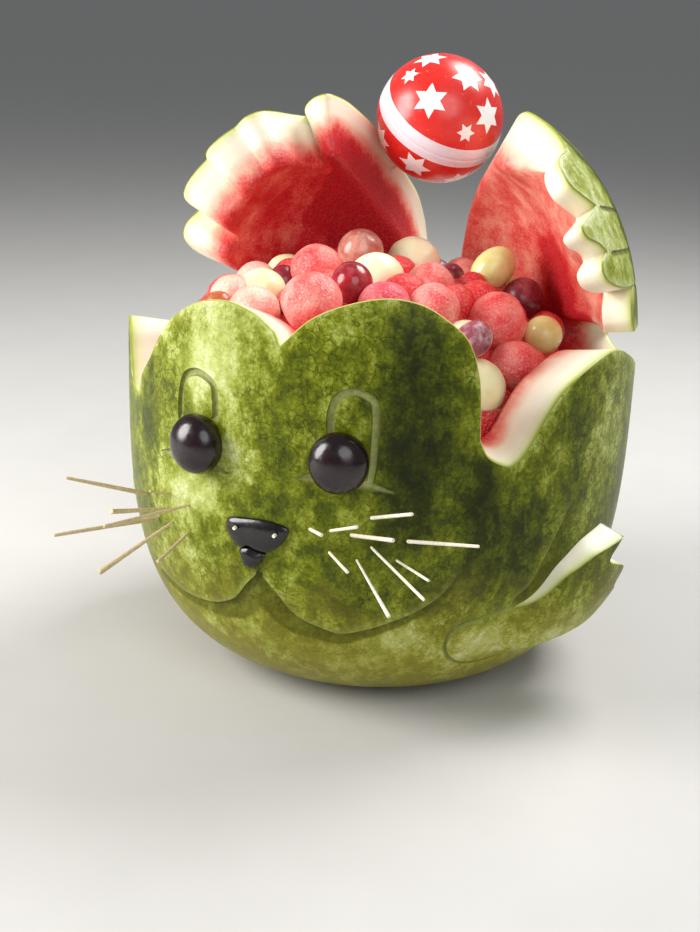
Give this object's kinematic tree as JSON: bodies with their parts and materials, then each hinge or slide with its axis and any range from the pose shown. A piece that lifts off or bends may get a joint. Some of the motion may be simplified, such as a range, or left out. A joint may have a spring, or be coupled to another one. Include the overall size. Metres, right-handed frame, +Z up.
{
  "type": "watermelon fruit bowl",
  "caption": "Watermelon carved as a seal, its hollow filled with melon balls and grapes, with scalloped tail flukes that hold a play ball. Serves cut fruit.",
  "frame": {"origin": "middle of the small flat cut that the melon stands on", "axes": "+Z up; the seal's face looks along -Y; +X is the seal's left"},
  "size_m": [0.2509, 0.2634, 0.2729],
  "materials": {
    "rind": "satin rind over white and red flesh",
    "fruit": "moist fruit",
    "black_grape": "glossy skin",
    "pick_wood": "plain",
    "ball_red": "glossy with white stars and band"
  },
  "bodies": {
    "root": {"melon_shell": "rind", "fruit_heap": "fruit", "eye_left": "black_grape", "eye_right": "black_grape", "nose_bridge": "black_grape", "nose_tip": "black_grape", "nose_pin_left": "pick_wood", "nose_pin_right": "pick_wood", "ball": "ball_red", "ball_pick": "pick_wood", "whisker_left_1": "pick_wood", "whisker_left_2": "pick_wood", "whisker_left_3": "pick_wood", "whisker_left_4": "pick_wood", "whisker_left_5": "pick_wood", "whisker_left_6": "pick_wood", "whisker_left_7": "pick_wood", "whisker_left_8": "pick_wood", "whisker_left_9": "pick_wood", "whisker_right_1": "pick_wood", "whisker_right_2": "pick_wood", "whisker_right_3": "pick_wood", "whisker_right_4": "pick_wood", "whisker_right_5": "pick_wood", "whisker_right_6": "pick_wood", "whisker_right_7": "pick_wood"}
  },
  "joints": []
}
